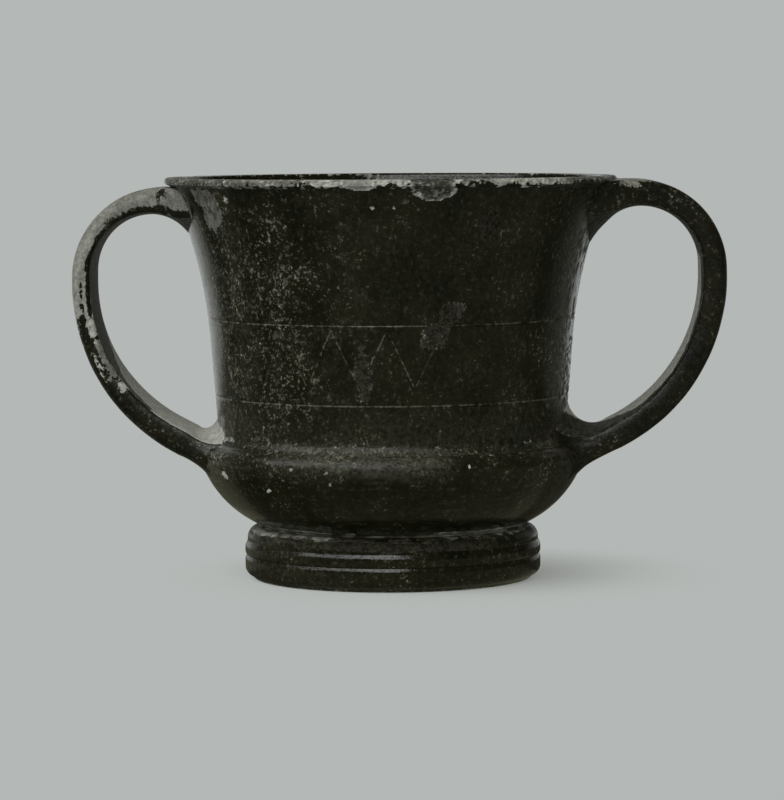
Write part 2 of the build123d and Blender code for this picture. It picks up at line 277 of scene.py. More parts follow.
def burnished_clay(name, marks_run, smoothest, lines=None):
    """Clay fired black with little air, its slip burnished to a soft gloss before firing.
    The eye sees near-black with an olive cast, a net of pale specks, and grey where the slip is gone."""
    material = bpy.data.materials.new(name)
    tree = bare_tree(material)
    place = add(tree, "ShaderNodeTexCoord").outputs["Object"]
    worn, pale = painted(tree, "worn"), painted(tree, "pale")
    speckled, dusty = painted(tree, "speckled"), painted(tree, "dusty")
    grit = mottle(tree, place, GRIT, 2.0)
    grain = mottle(tree, place, GRAIN, 4.0, 0.6)
    cloud = mottle(tree, place, CLOUD, 4.0)
    drawn_out = add(tree, "ShaderNodeVectorMath", {0: place, 1: marks_run}, operation="MULTIPLY")
    streak = mottle(tree, drawn_out, STREAK, 2.0)
    torn = calc(tree, "ADD", grain, grit)

    # Ground: black slip with fine marks of the turning, browner in clouds where the firing let air in
    ground = tinted(tree, spread(tree, cloud, 0.35, 0.65), SLIP_BLACK, SLIP_BROWN)
    marks = spread(tree, times(tree, grain, streak), 0.29, 0.52)
    ground = tinted(tree, marks, ground, TURNING_MARK)

    # A thin matt film of dust and lime, left in patches; where it is laid on the bowl's shoulder, the ledge
    # and the sides, its grey is also painted highlight and sheen
    dust_and_sheen_film = times(tree, spread(tree, torn, 0.7, 1.3), dusty)
    ground = tinted(tree, dust_and_sheen_film, ground, DUST_AND_SHEEN)

    # Specks of lime and lost slip, thicker in clouds and where the piece says so
    thick = calc(tree, "MULTIPLY_ADD", speckled, 0.24, torn)
    thick = calc(tree, "MULTIPLY_ADD", cloud, 0.5, thick)
    speck = spread(tree, thick, 1.5, 1.84)
    coloured = tinted(tree, speck, ground, SPECK)
    crumb = spread(tree, thick, 1.72, 1.9)
    coloured = tinted(tree, crumb, coloured, CRUMB)
    if lines:
        left = spread(tree, grain, 0.4, 0.58)
        drawn = calc(tree, "POWER", lines(tree, place), 1.4)
        drawn = times(tree, drawn, painted(tree, "limed"), left)
        coloured = tinted(tree, drawn, coloured, LIMED_LINE)

    # Worn places: grey body clay, paler where it is rubbed or limed, with a torn outline
    edge = calc(tree, "MULTIPLY_ADD", torn, 0.3, worn)
    bare = spread(tree, edge, 0.27, 0.35)
    crackle = spread(tree, torn, 0.85, 1.15)
    dark_body = tinted(tree, crackle, BODY_DARK, BODY_BROWN)
    uneven = calc(tree, "MULTIPLY_ADD", crackle, 0.4, 0.8)
    tone = calc(tree, "MULTIPLY", pale, uneven, use_clamp=True)
    body = tinted(tree, tone, dark_body, BODY_PALE)
    coloured = tinted(tree, bare, coloured, body)

    # Crumbs of lime along the torn outline, where the worn place is pale
    beside = calc(tree, "ABSOLUTE", calc(tree, "SUBTRACT", edge, 0.31))
    rim = spread(tree, beside, 0.09, 0.0)
    crumbs = spread(tree, calc(tree, "ADD", grit, cloud), 1.02, 1.3)
    limy = spread(tree, pale, 0.008, 0.025)
    coloured = tinted(tree, times(tree, rim, crumbs, limy), coloured, LIMY_RIM)

    # Gloss: burnished smooth, duller on specks and marks, matt where the slip is gone
    dull = calc(tree, "ADD", speck, marks)
    gloss = spread(tree, dull, 0.0, 1.0, smoothest, DULL_ROUGHNESS)
    rough = calc(tree, "MAXIMUM", times(tree, bare, BARE_ROUGHNESS), gloss)
    rough = calc(tree, "MULTIPLY_ADD", dusty, DUST_ROUGHNESS, rough, use_clamp=True)
    pitted = spread(tree, torn, 0.8, 1.1, 0.28, 0.56)
    shine = calc(tree, "MULTIPLY_ADD", dust_and_sheen_film, -0.35, pitted, use_clamp=True)
    relief = calc(tree, "MULTIPLY_ADD", bare, -0.6, torn)
    relief = calc(tree, "MULTIPLY_ADD", streak, 1.5, relief)
    bump = add(
        tree, "ShaderNodeBump",
        {"Strength": BUMP_STRENGTH, "Distance": BUMP_DEPTH * MM, "Height": relief},
    )
    surface = add(
        tree, "ShaderNodeBsdfPrincipled",
        {
            "Base Color": coloured, "Roughness": rough, "Specular IOR Level": shine,
            "IOR": CLAY_IOR, "Normal": bump,
        },
    )
    add(tree, "ShaderNodeOutputMaterial", {"Surface": surface})
    return material


black_clay = burnished_clay("Burnished black clay", marks_run=(0.14, 0.14, 1.0), smoothest=0.13)
wheel = wheel_tree()

seat_outer, seat_inner = (35.8, 13.94), (26.5, 11.59)
torus_round, bead_top, bead_face, bead_round = (38.85, 10.8), (38.85, 10.1), (39.45, 8.8), (39.5, 8.3)
bead_low, bead_under = (39.5, 7.4), (39.4, 6.8)
groove, lower_edge, lower_top, lower_round = (39.05, 6.35), (39.42, 5.55), (39.5, 5.0), (39.5, 3.2)
bevel, rest_outer, rest_inner = (37.9, 0.9), (36.9, 0.0), (30.0, 0.0)
foot_profile = [seat_outer]
foot_profile += bend(torus_round, (0, 1), seat_outer, 14)[-2::-1] + [torus_round]
foot_profile += run(torus_round, bead_top, 2) + run(bead_top, bead_face, 4)
foot_profile += bend(bead_face, (0.22, -0.975), bead_round, 3) + run(bead_round, bead_low, 3)
foot_profile += bend(bead_low, (0, -1), bead_under, 3) + run(bead_under, groove, 2)
foot_profile += run(groove, lower_edge, 3) + bend(lower_edge, (0.3, -0.95), lower_top, 3)
foot_profile += run(lower_top, lower_round, 3) + bend(lower_round, (0, -1), bevel, 8)
foot_profile += run(bevel, rest_outer, 3) + run(rest_outer, rest_inner, 6)
foot_profile += run(rest_inner, seat_inner, 8) + run(seat_inner, seat_outer, 8)
foot_ring = settle(throw("foot_ring", foot_profile, 360, black_clay))

# Lime and dust lie in the joint, and the edge that it stands on is rubbed
places = points_of(foot_ring)
front, _, height = around_cup(places)
joint_dust = graded(height, {11.4: 0.0, 13.4: 1.2}) * np.clip(0.6 + ragged(places, 5.0, 8), 0, 1)
joint_crust = graded(height, {12.4: 0.0, 13.7: 1.0})
joint_crust *= graded(
    front, {-100: 0.3, -75: 0.62, -30: 0.58, -15: 0.15, 5: 0.2, 30: 0.4, 75: 0.4, 100: 0.1},
)
foot_worn = 0.12 * ragged(places, 5.0, 4) + 0.16 * ragged(places, 1.8, 14) + 0.3 * (height < 0.5)
foot_worn -= graded(front, {-60: 0.2, -30: 0.36})
foot_worn += joint_crust
foot_pale = graded(height, {11: 0.25, 13: 0.5}) * (1 + ragged(places, 2.0, 5))

# The front of the round moulding has lost its gloss in streaks and stays dark
dulled = graded(height, {9.9: -0.6, 11.2: 0.3, 12.8: 0.3, 13.6: -0.6})
dulled += 0.4 * ragged(places * [0.4, 0.4, 2.5], 3.0, 15) - graded(np.abs(front), {35: 0.0, 65: 0.8})
dust_and_highlight_round = graded(
    front, {-100: 0.45, -65: 0.3, -35: 0.2, -18: 0.14, -8: 0.04, 60: 0.08, 180: 0.2},
)
paint(
    foot_ring,
    worn=np.maximum(foot_worn, dulled),
    pale=np.where(dulled > foot_worn, 0.01, foot_pale),
    speckled=0.2,
    dusty=dust_and_highlight_round + joint_dust,
)
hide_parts("foot_ring")
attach(foot_ring, "root")

# Slip in the foot joint
# A thin ring of wet clay that sticks the foot to the bowl. It was never burnished, and fired it shows as
# a fine pale line.
SLIP_DARK, SLIP_PALE, SLIP_MOTTLE, SLIP_ROUGHNESS, SLIP_IOR = "#33332a", "#8c8c80", 5, 0.8, 1.36


def dried_slip(name):
    """Slip dried matt in a joint and never burnished: plain grey in uneven shades."""
    material = bpy.data.materials.new(name)
    tree = bare_tree(material)
    place = add(tree, "ShaderNodeTexCoord").outputs["Object"]
    shade = spread(tree, mottle(tree, place, SLIP_MOTTLE, 6.0), 0.42, 0.68)
    coloured = tinted(tree, shade, SLIP_DARK, SLIP_PALE)
    surface = add(
        tree, "ShaderNodeBsdfPrincipled",
        {"Base Color": coloured, "Roughness": SLIP_ROUGHNESS, "IOR": SLIP_IOR},
    )
    add(tree, "ShaderNodeOutputMaterial", {"Surface": surface})
    return material


joint_slip = dried_slip("Dried slip")
slip_outer, slip_inner = (35.8, 14.6), (26.5, 12.19)
slip_profile = [slip_outer] + run(slip_outer, slip_inner, 8) + run(slip_inner, seat_inner, 1)
slip_profile += run(seat_inner, seat_outer, 8) + bend(seat_outer, (1, 0.2), slip_outer, 5)
foot_slip = settle(throw("foot_slip", slip_profile, 360, joint_slip))
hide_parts("foot_luting")
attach(foot_slip, "root")

# Bowl
# A shallow thrown bowl with a round shoulder under the ledge and a floor a little thicker at the foot.
# Its outside was turned smooth and burnished with the wall.
ledge, shoulder, bowl_centre = (47.4, 36.2), (51.0, 30.9), (24.06, 40.79)
under_middle, floor_middle, floor_edge = (0.0, 12.99), (0.0, 15.99), (18.0, 15.99)
ledge_inside = (42.4, 34.38)
rising = (bowl_centre[1] - shoulder[1], shoulder[0] - bowl_centre[0])
bowl_rise = bend(shoulder, (-rising[0], -rising[1]), slip_inner, 60)[-2::-1] + [shoulder]
bowl_rise += bend(shoulder, rising, ledge, 16)
bowl_profile = [under_middle] + run(under_middle, slip_inner, 14) + bowl_rise
bowl_profile += run(ledge, ledge_inside, 4)
bowl_profile += bend(floor_edge, (1, 0), ledge_inside, 30)[-2::-1]
bowl_profile += [floor_edge] + run(floor_edge, floor_middle, 10)
bowl = settle(throw("bowl", bowl_profile, 480, black_clay, ridge_depth=0.12, ridge_spacing=3.5))


def blot(skin, degrees, level, half_width, half_height, tilt=0.0, torn=1.0):
    """A patch on the outside of a piece: 1 in its middle, 0 on its torn outline, below 0 beyond."""
    front, radius, height, outside, coarse, fine = skin
    across = np.radians((front - degrees + 180) % 360 - 180) * radius
    up = height - level
    c, s = math.cos(math.radians(tilt)), math.sin(math.radians(tilt))
    along = (across * c + up * s) / half_width
    over = (up * c - across * s) / half_height
    return np.where(outside, 1 - np.hypot(along, over) + torn * (0.5 * coarse + 0.35 * fine), -1.0)


# The ledge is rubbed in places, and lime lies round the foot joint
places = points_of(bowl)
front, radius, height = around_cup(places)
outside = (radius > 44) & (height < 36)
coarse, fine = ragged(places, 4.0, 9), ragged(places, 1.3, 6)
worn = 0.3 * coarse - 0.42 + 0.24 * (height > 35.4)
crust_round = graded(front, {-100: 0.8, -60: 1.0, -25: 0.8, -5: 0.3, 15: 0.5, 40: 1.0, 80: 0.8})
worn += graded(height, {14.7: 0.75, 16.0: 0.0}) * crust_round * (radius > 30)
pale = np.where(height < 16, 0.45, 0.3) * (1 + fine)

# Dots of lime below the ledge: degrees, height, half width, half height, tilt and paleness of each
lime_dots = [
    (-58.4, 29.5, 1.5, 1, 0, 0.95), (-39.5, 26.4, 1.3, 0.5, 20, 0.9),
    (-29, 32.6, 0.5, 0.5, 30, 0.45), (-18, 32, 0.6, 0.4, 0, 0.4),
    (-17, 29, 0.5, 0.4, 20, 0.45), (24, 33.4, 0.45, 0.4, 0, 0.9),
]
skin = (front, radius, height, outside, coarse, fine)
for *spot, paleness in lime_dots:
    dot = 0.22 * blot(skin, *spot, torn=0.7)
    pale = np.where(dot > worn, paleness, pale)
    worn = np.maximum(worn, dot)

# Specks thicken upwards and to the left; dust lies in the joint, and the grey dust film on the front of the
# shoulder and at the sides is also painted highlight and sheen
speckle_round = graded(front, {-180: 0.5, -90: 0.9, -60: 0.9, -20: 0.5, 40: 0.2, 180: 0.4})
speckle_up = graded(height, {24: 0.2, 34: 1.0})
dust_and_highlight_up = graded(height + 1.2 * ragged(places, 6.0, 7), {29: 0, 32: 0.6, 35.5: 1.0})
dust_and_highlight_round = graded(front, {-75: 0.3, -40: 0.3, -24: 0.85, 14: 0.9, 22: 0.2, 80: 0.1})
joint_dust = graded(height + 1.5 * coarse, {13.5: 1.2, 16.5: 0.0}) * (radius > 30)
# Grey film at both ends of the bowl: painted sheen as well as dust
side_dust_and_sheen = graded(np.abs(front), {45: 0.0, 72: 0.35}) * outside
paint(
    bowl,
    worn=worn,
    pale=pale,
    speckled=speckle_round * speckle_up,
    dusty=dust_and_highlight_round * dust_and_highlight_up + joint_dust + side_dust_and_sheen,
)
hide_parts("bowl")
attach(bowl, "root")

# Slip in the ledge joint
# The same wet clay between the bowl's ledge and the foot of the wall, wiped along the corner with a finger
# and burnished over with both, so only a little dust marks it. At its front the grey of that dust is also
# painted highlight.
wiped_low, wiped_high = (48.5, 36.04), (46.86, 37.9)
wall_foot, wall_inside = (47.4, 36.8), (42.4, 34.98)
slip_profile = [wiped_low] + bend(wiped_low, (-1, 0.25), wiped_high, 8) + run(wiped_high, wall_foot, 2)
slip_profile += run(wall_foot, wall_inside, 4) + run(wall_inside, ledge_inside, 1)
slip_profile += run(ledge_inside, ledge, 4) + run(ledge, wiped_low, 2)
ledge_slip = settle(throw("ledge_slip", slip_profile, 480, black_clay))
places = points_of(ledge_slip)
front, _, _ = around_cup(places)
rubbed_left = 0.5 * np.exp(-((front + 74) / 9) ** 2)
paint(
    ledge_slip,
    worn=0.3 * ragged(places, 3.0, 12) - 0.26 + rubbed_left,
    pale=graded(front, {-66: 0.4, -58: 0.2}) * (1 + ragged(places, 1.3, 13)),
    speckled=0.6,
    # the grey dust film at the front is painted highlight, carried on from the shoulder, as well as dust
    dusty=graded(front, {-75: 0.4, -40: 0.3, -24: 0.85, 14: 0.9, 22: 0.4, 80: 0.3}),
)
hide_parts("ledge_luting")
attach(ledge_slip, "root")

# Wall
# A thrown, flaring wall with a small lip, burnished black. Two lines were incised round it with a point
# before firing, with a zigzag between them, and the lip is worn and chipped.
ZIGZAGS = 21
ZIGZAG_TOP, ZIGZAG_FOOT = 68.2, 53.2
LINES = (69.3, 48.8)
LINE_WIDTH, LINE_DEPTH = 0.6, 0.22
BAND_RADIUS, OUTSIDE_RADIUS = 48, 45.6
RUBBED_OFF = ((118, 46), (-90, 36))  # middle and half width in degrees of where the zigzag is rubbed off
RUBBED_FADE, RUBBED_LIFT = 4, 0.42


def incised_lines(tree, place):
    """How deep the incised lines are at each place of the wall, from 0 to 1."""
    axes = add(tree, "ShaderNodeSeparateXYZ", {0: place}).outputs
    angle = calc(tree, "ARCTAN2", axes["X"], axes["Y"])
    wave = calc(tree, "PINGPONG", times(tree, angle, ZIGZAGS / (2 * math.pi)), 0.5)
    rise = ZIGZAG_TOP - ZIGZAG_FOOT
    zigzag = calc(tree, "MULTIPLY_ADD", wave, 2 * rise * MM, ZIGZAG_FOOT * MM)
    away = calc(tree, "ABSOLUTE", calc(tree, "SUBTRACT", axes["Z"], zigzag))
    half_period = math.pi * BAND_RADIUS / ZIGZAGS
    slant = half_period / math.hypot(half_period, rise)
    nearest = times(tree, away, slant)
    for middle, half in RUBBED_OFF:
        beside = calc(tree, "ABSOLUTE", calc(tree, "SUBTRACT", angle, math.radians(middle)))
        outer, inner = math.radians(half + RUBBED_FADE), math.radians(half - RUBBED_FADE)
        rubbed_off = spread(tree, beside, outer, inner, 0.0, RUBBED_LIFT * LINE_WIDTH * MM)
        nearest = calc(tree, "ADD", nearest, rubbed_off)
    for height in LINES:
        away = calc(tree, "ABSOLUTE", calc(tree, "SUBTRACT", axes["Z"], height * MM))
        nearest = calc(tree, "MINIMUM", nearest, away)
    return spread(tree, nearest, LINE_WIDTH / 2 * MM, 0.1 * LINE_WIDTH * MM).outputs[0]


def incising_tree():
    """Geometry nodes that cut the incised lines into the wall."""
    sockets = {"Wall": "Geometry", "Depth": "Float", "Finish": "Material"}
    tree, given = node_group("Incised with a point", sockets, "Wall")
    place = add(tree, "GeometryNodeInputPosition")
    axes = add(tree, "ShaderNodeSeparateXYZ", {0: place}).outputs
    outward = add(tree, "ShaderNodeCombineXYZ", {0: axes["X"], 1: axes["Y"]})
    radius = add(tree, "ShaderNodeVectorMath", {0: outward}, operation="LENGTH").outputs["Value"]
    outward = add(tree, "ShaderNodeVectorMath", {0: outward}, operation="NORMALIZE")
    outside = calc(tree, "GREATER_THAN", radius, OUTSIDE_RADIUS * MM)
    cut = times(tree, incised_lines(tree, place.outputs[0]), outside, given["Depth"], -1.0)
    inward = add(tree, "ShaderNodeVectorMath", {0: outward, "Scale": cut}, operation="SCALE")
    incised = add(tree, "GeometryNodeSetPosition", {"Geometry": given["Wall"], "Offset": inward})
    return close_group(tree, incised, given["Finish"], "Wall")


incised_clay = burnished_clay(
    "Burnished black clay, incised", marks_run=(1.0, 1.0, 0.3), smoothest=0.2, lines=incised_lines,
)
waist, flare, under_lip = (46.4, 40.0), (48.3, 64.0), (58.4, 104.2)
lip_low, lip_high, lip_top = (60.0, 104.9), (60.0, 105.6), (59.1, 106.5)
inner_top, inner_lip, inner_flare = (55.9, 106.5), (55.0, 105.6), (44.3, 64.0)
lean, inner_lean = (flare[0] - waist[0], flare[1] - waist[1]), (1.9, 29.0)
plain_share = 0.29  # of the straight run, below the incised band
band_low = tuple(np.add(waist, np.multiply(lean, plain_share)))
wall_rise = [wall_foot] + bend(waist, (-lean[0], -lean[1]), wall_foot, 6)[-2::-1] + [waist]
wall_rise += run(waist, band_low, 5) + run(band_low, flare, 44)

# The rows lie close together at the upper incised line and under the lip, and wider apart between them
flaring = bend(flare, lean, under_lip, 400)
wall_rise += flaring[3:70:4] + flaring[82:330:13] + flaring[336:398:4]
wall_rise += run(wall_rise[-1], under_lip, 1) + run(under_lip, lip_low, 4)
wall_rise += run(lip_low, lip_high, 2) + bend(lip_high, (0, 1), lip_top, 5)
wall_profile = wall_rise + run(lip_top, inner_top, 5)
wall_profile += bend(inner_lip, (0, 1), inner_top, 4)[-2::-1] + [inner_lip]
wall_profile += bend(inner_flare, inner_lean, inner_lip, 10)[-2::-1] + [inner_flare]
wall_profile += run(inner_flare, wall_inside, 7) + run(wall_inside, wall_foot, 3)
wall = throw("wall", wall_profile, 660, incised_clay)
give(wall, incising_tree(), depth=LINE_DEPTH * MM, finish=incised_clay)
settle(wall)

places = points_of(wall)
front, radius, height = around_cup(places)
outside = radius > graded(height, {36: 44.5, 64: 46.4, 85: 49.5, 106.5: 57.0})
outward = places * [1, 1, 0] / radius[:, None]
coarse, fine, tiny = ragged(places, 4.0, 1), ragged(places, 1.3, 2), ragged(places, 0.7, 3)
scored = ragged(places * [1, 1, 0.15], 0.9, 5)
skin = (front, radius, height, outside, coarse, fine)

# Where the slip has flaked: degrees, height, half width, half height, tilt and paleness of each patch
FLAKE_DEPTH = 0.15
flakes = [
    (14.2, 66.6, 3.4, 3.2, 10, 0.009), (18.9, 72.2, 4.4, 3, 30, 0.01),
    (-7.4, 57, 2.2, 6.2, 0, 0.01), (28.3, 94.8, 3.6, 3.6, 0, 0),
    (-53.6, 97.8, 4.2, 5.6, -22, 0.16), (-57.4, 101.6, 4.6, 2.6, 0, 0.16),
    (-69, 99.4, 2.4, 5.6, 14, 0.16), (-36, 66.8, 2.2, 1, 10, 0.04),
    (-46.2, 101.3, 0.9, 0.8, 0, 0.9), (-3.3, 99.4, 0.5, 0.5, 0, 0.8), (2.3, 99.4, 0.5, 0.5, 0, 0.9),
    (-75, 41, 4, 4.5, 0, 0.35), (-66, 38, 4, 1, 0, 0.35),
    (128, 71, 6, 4.5, 15, 0.04), (171, 88, 3.5, 5, 30, 0.06),
    (-140, 60, 5, 3, -20, 0.05),
]
worn = np.full(len(places), -1.0)
pale = np.zeros(len(places))
for *spot, paleness in flakes:
    patch = blot(skin, *spot) * (0.25 if spot[2] < 1 else 0.6)
    crust = 18 * min(paleness, 0.02) * np.exp(-(patch / 0.12) ** 2) * np.clip(tiny, 0, 1)
    pale = np.where(patch > worn, paleness * (1 + 0.8 * scored + 0.8 * tiny) + crust, pale)
    worn = np.maximum(worn, patch)
places -= (FLAKE_DEPTH * np.clip(worn * 3, 0, 1))[:, None] * outward

# The foot of the wall is rubbed in places where it meets the ledge
foot_rub = 0.6 * coarse + 0.4 * fine - graded(height, {36.8: 0.25, 38.5: 0.45, 41: 1.2})
foot_rub = np.where(outside, foot_rub, -1)
pale = np.where(foot_rub > worn, 0.2 * (1 + fine), pale)
worn = np.maximum(worn, foot_rub)

# The lip: rubbed pale round its edge, most at the front, by degrees from the front
rubbed = graded(
    front,
    {
        -178: -0.2, -175: 0.6, -170: 0.6, -167: -0.2, -100: 0.0, -75: 0.85, -60: 0.85, -36: 0.8, -26: 0.75,
        -22: 0.5, -18: 0.75, 4: 0.7, 18: 0.3, 26: 0.25, 29: 0.7, 47: 0.65, 52: 0.3, 75: 0.2, 100: -0.1,
        180: -0.2,
    },
)
rubbed_pale = graded(
    front,
    {
        -180: 0.2, -170: 0.2, -100: 0.15, -75: 0.1, -58: 0.1, -46: 0.16, -36: 0.22, -26: 0.22, -22: 0.2,
        -18: 0.6, 4: 0.6, 18: 0.25, 26: 0.25, 29: 0.5, 47: 0.5, 52: 0.1, 75: 0.08, 100: 0.15, 180: 0.3,
    },
)
up_lip = (height - under_lip[1]) / (lip_top[1] - under_lip[1])
edge = np.where(height > 104.0, 0.6 * (rubbed - 1 + up_lip + 0.5 * coarse + 0.6 * fine), -1.0)
rubbed_pale = rubbed_pale * (1 + 0.7 * fine + 0.6 * tiny) + 0.9 * np.clip(tiny - 0.12, 0, 1)
pale = np.where(edge > worn, rubbed_pale, pale)
worn = np.maximum(worn, edge)


def broken_lip(skin, degrees, half_degrees, drop):
    """A break in the lip: 1 in its middle, 0 on its outline, below 0 beyond."""
    front, radius, height, _, coarse, fine = skin
    across, down = (front - degrees) / half_degrees, (lip_top[1] - height) / drop
    return np.where(radius > 56.3, 1 - np.hypot(across, down) + 0.22 * coarse + 0.12 * fine, -1.0)


# Chips: degrees, half width in degrees, drop down the wall, depth of the bite and paleness of each
chips = [(11.8, 6.2, 5.2, 1.5, 0.03), (-6.4, 4, 2.6, 0.12, 0.4), (150, 4, 3, 1, 0.03)]
for *spot, bite, paleness in chips:
    broken = broken_lip(skin, *spot)
    sunk = np.clip(4 * broken, 0, 1)
    lost = graded(height, {101: 0.3, 104.2: 0.55, 104.9: 1.0}) * bite + 0.3 * fine + 0.2 * tiny
    places -= (sunk * np.maximum(lost, 0.1))[:, None] * outward
    places[:, 2] -= 0.3 * bite * sunk * graded(height, {105: 0, 106.5: 1}) * (radius > 57.5)
    crust = np.exp(-(broken / 0.07) ** 2) * (0.6 + 0.6 * tiny) + 0.5 * np.clip(tiny + 0.4 * fine, 0, 1)
    pale = np.where(broken > -0.1, paleness + crust, pale)
    worn = np.where(broken > -0.06, np.maximum(worn, 0.35), worn)
wall.data.vertices.foreach_set("co", (places * MM).astype(np.float32).ravel())
wall.data.update()

# Specks are thickest on the left, dust lies low and at the sides (at the right side also painted sheen),
# and lime is left in parts of the lines
speckle_round = graded(
    front,
    {
        -180: 0.5, -95: 0.4, -75: 0.5, -60: 0.85, -30: 0.75, -15: 0.35,
        0: 0.12, 20: 0.08, 45: 0.2, 65: 0.4, 80: 0.4, 180: 0.5,
    },
)
speckle_up = graded(height, {36: 0.8, 50: 0.85, 72: 1.0, 94: 1.0, 100: 0.6, 104: 0.4})
dust_low = graded(height, {36: 0.35, 42: 0.18, 50: 0.03})
# The grey dust film at the right edge is painted sheen as well as dust
right_dust_and_sheen = graded(front, {60: 0.0, 70: 1.0, 100: 1.0, 110: 0.0})
right_dust_and_sheen *= np.clip(0.3 + 1.0 * coarse + 2.0 * fine, 0, 1)
dust_left = graded(front, {-78: 0.0, -66: 0.25, -10: 0.2, 5: 0.05}) * np.clip(coarse + 0.2, 0, 1)
zigzag_lime = graded(front, {-70: 0.1, -32: 0.2, -24: 0.5, 9: 0.5, 14: 0.15, 60: 0.1})
line_lime = graded(front, {-80: 0.65, 14: 0.6, 22: 0.4, 80: 0.4})
paint(
    wall,
    worn=worn,
    pale=pale,
    speckled=speckle_round * speckle_up * outside,
    dusty=(dust_low + right_dust_and_sheen + dust_left) * outside,
    limed=np.where((height > 50.5) & (height < 68.7), zigzag_lime, line_lime) * outside,
)
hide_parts("wall")
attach(wall, "root")

# Handles
# Each is a strap of clay bent by hand from the rim down to the ledge. Soft clay was pressed into its
# upper root, with a web smoothed down the wall, and round its lower root on the ledge.
SCARF_X, SUNK = 61.5, 0.4
STRAP_DEPTH, STRAP_HALF, STRAP_FOOT_HALF, ROOT_HALF = 7.2, 11.25, 15.0, 21.5
STRAP_ROUND, STRAP_INNER_ROUND, STRAP_HOLLOW = 2.4, 1.0, 0.6
SIDE_RUN, STEM_DEPTH, ROOT_X = 1.5, 7.4, 54.3
FLARE_LENGTH, FLARE_FOOT, FLARE_DROP = 5.0, 48.5, 5.4
WEB_RUN, WEB_FALL, WEB_SLOPE, WEB_GAP, BLEND_RUN, BLEND_FALL = 7.78, 3.22, 12, 2.0, 5.0, 7.6
FOOT_SAG, FOOT_OUTER_SAG, FOOT_SPREAD, FACE_TAPER = 6.0, 2.0, 0.2, 0.05
HAND_SHRINK, HAND_UNEVEN, HAND_GRAIN = 0.985, 0.02, 14.0
STATIONS = (30, 76, 6, 110, 14, 30)  # points along each span of a handle, from the wall to the ledge
CORNER_STEPS, FLAT_STEPS = 6, (34, 12, 34, 12)
body_line = np.array(bowl_rise + wall_rise)


def body_radius(height):
    """Outside radius of the cup at a height."""
    return np.interp(height, body_line[:, 1], body_line[:, 0])


def even(points, count):
    """The same line with evenly spaced points, both ends included."""
    points = np.array(points)
    walked = np.r_[0, np.cumsum(np.hypot(*np.diff(points, axis=0).T))]
    share = np.linspace(0, walked[-1], count)
    return np.c_[np.interp(share, walked, points[:, 0]), np.interp(share, walked, points[:, 1])]


def section(half_width, half_depth):
    """Ring of (across, outwards) round a strap, with its outer edges rounder than its inner ones."""
    corners = []
    for k, (side, face) in enumerate([(1, 1), (-1, 1), (-1, -1), (1, -1)]):
        rounding = STRAP_ROUND if face > 0 else STRAP_INNER_ROUND
        x, y = side * (half_width - rounding), face * (half_depth - rounding)
        turns = [math.radians(90 * (k + step / CORNER_STEPS)) for step in range(CORNER_STEPS + 1)]
        corners.append([(x + rounding * math.cos(t), y + rounding * math.sin(t)) for t in turns])
    ring = []
    for k, flat_steps in enumerate(FLAT_STEPS):
        ring += corners[k] + run(corners[k][-1], corners[(k + 1) % 4][0], flat_steps)[:-1]
    return np.array(ring)


def strap_lines(reach, top, thickness, level_x, under_x, stem_start, root_fillet):
    """Outer and inner line of a handle from the wall round to the ledge, and where its three pieces part."""
    under, inside = top - STRAP_DEPTH, reach - thickness
    bend_low = top - (reach - level_x)
    side_low = bend_low - SIDE_RUN
    turn = 2 * math.atan2(reach - stem_start[0], side_low - stem_start[1])
    sine, cosine = math.sin(turn), math.cos(turn)
    heading = np.array([-sine, -cosine])
    sweep = (side_low - stem_start[1]) / sine
    inner_sweep = sweep - (STEM_DEPTH - thickness * cosine) / (1 - cosine)
    stem_inside = np.array([inside - inner_sweep * (1 - cosine), side_low - inner_sweep * sine])
    fillet = stem_inside + heading * ((stem_inside[0] - waist[0]) / sine - root_fillet)
    fillet_top = (waist[0] - SUNK, fillet[1] + root_fillet * (1 - cosine))
    flare_start = stem_start + heading * ((stem_start[0] - shoulder[0]) / sine - FLARE_LENGTH)
    flare_end = (FLARE_FOOT, flare_start[1] - FLARE_DROP)
    cut = stem_start + heading * ((fillet - stem_start) @ heading)

    # The web under the upper root: round, then straight down towards the wall, then faired into it
    web = [(under_x, under)] + bend((under_x, under), (-1, 0), (under_x - WEB_RUN, under - WEB_FALL), 20)
    slope = run(web[-1], (web[-1][0] - WEB_SLOPE, web[-1][1] - WEB_SLOPE), 240)
    web += [point for point in slope if point[0] > body_radius(point[1]) + WEB_GAP]
    faired = bend(web[-1], (-1, -1), (web[-1][0] - BLEND_RUN, web[-1][1] - BLEND_FALL), 60)
    web += [point for point in faired if point[0] > body_radius(point[1]) - SUNK]
    bend_end = (inside, under - (inside - under_x))
    outer = [
        [(body_radius(top) - SUNK, top), (SCARF_X, top)],
        [(SCARF_X, top), (level_x, top)] + bend((level_x, top), (1, 0), (reach, bend_low), 60),
        [(reach, bend_low), (reach, side_low)],
        [(reach, side_low)] + bend((reach, side_low), (0, -1), stem_start, 60),
        [stem_start, cut],
        [cut, flare_start] + bend(flare_start, heading, flare_end, 20),
    ]
    if level_x < SCARF_X:
        outer[1] = [point for point in outer[1] if point[0] >= SCARF_X]
    inner = [
        web[::-1],
        [(under_x, under)] + bend((under_x, under), (1, 0), bend_end, 60),
        [bend_end, (inside, side_low)],
        [(inside, side_low)] + bend((inside, side_low), (0, -1), stem_inside, 60),
        [stem_inside, fillet],
        [fillet] + bend(fillet, heading, fillet_top, 20),
    ]
    lines = []
    for chain in (outer, inner):
        spans = [even(span, count) for span, count in zip(chain, STATIONS)]
        lines.append(np.concatenate([spans[0]] + [span[1:] for span in spans[1:]]))
    parts = [STATIONS[0] - 1, sum(STATIONS[:5]) - 5]
    return lines, parts, bend_low


def widening(length, extra):
    """Radius of the arc along which a strap widens by extra to each side over a length."""
    return (length ** 2 + extra ** 2) / (2 * extra)


